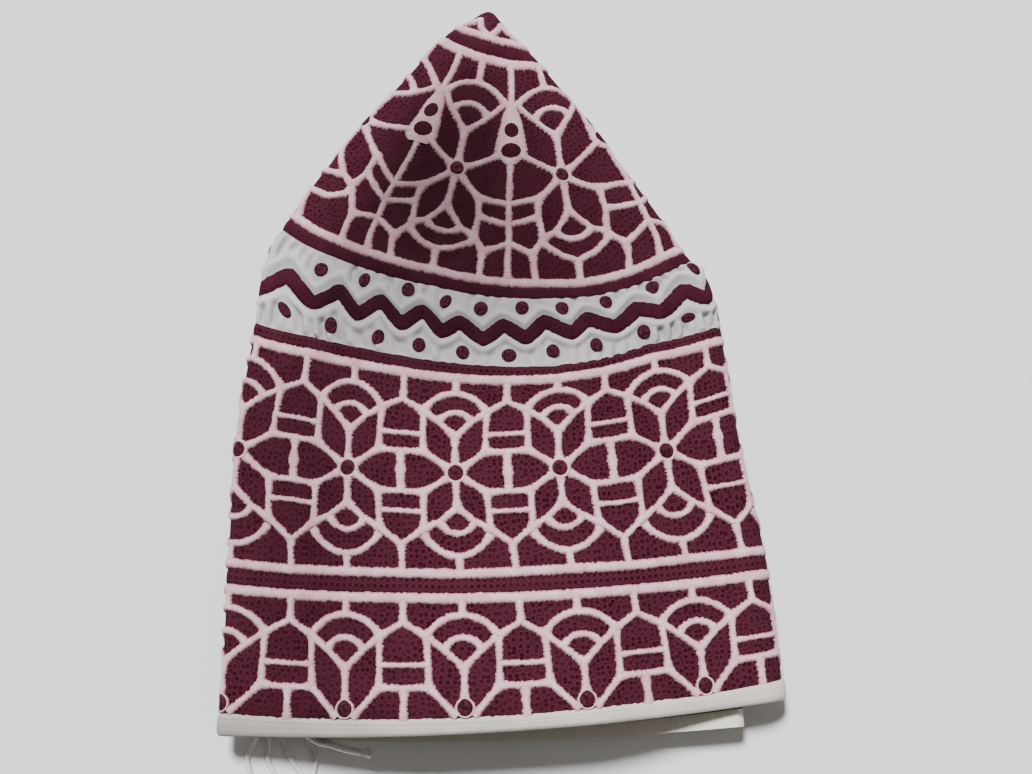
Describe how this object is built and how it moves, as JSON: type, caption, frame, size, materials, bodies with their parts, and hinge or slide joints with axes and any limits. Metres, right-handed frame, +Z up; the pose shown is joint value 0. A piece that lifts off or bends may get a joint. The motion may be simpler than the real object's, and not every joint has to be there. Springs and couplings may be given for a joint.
{
  "type": "prayer cap",
  "caption": "Embroidered cotton prayer cap folded flat into quarters, with a round crown, a zigzag band, a tall side wall and a rolled hem that opens for the head.",
  "frame": {"origin": "on the floor under the middle of the folded cap's bounding box", "axes": "+X to the right across the front layer, +Y from the hem towards the tip of the crown, +Z up from the floor"},
  "size_m": [0.1501, 0.2126, 0.0208],
  "materials": {
    "embroidered_crown": "maroon pierced cotton with raised white cord stitching",
    "band_cotton": "white puckered cotton with a maroon zigzag",
    "embroidered_wall": "maroon pierced cotton with raised white cord stitching",
    "hem_cotton": "white rolled cotton"
  },
  "bodies": {
    "root": {"crown": "embroidered_crown", "zigzag_band": "band_cotton", "side_wall": "embroidered_wall", "hem": "hem_cotton"}
  },
  "joints": []
}
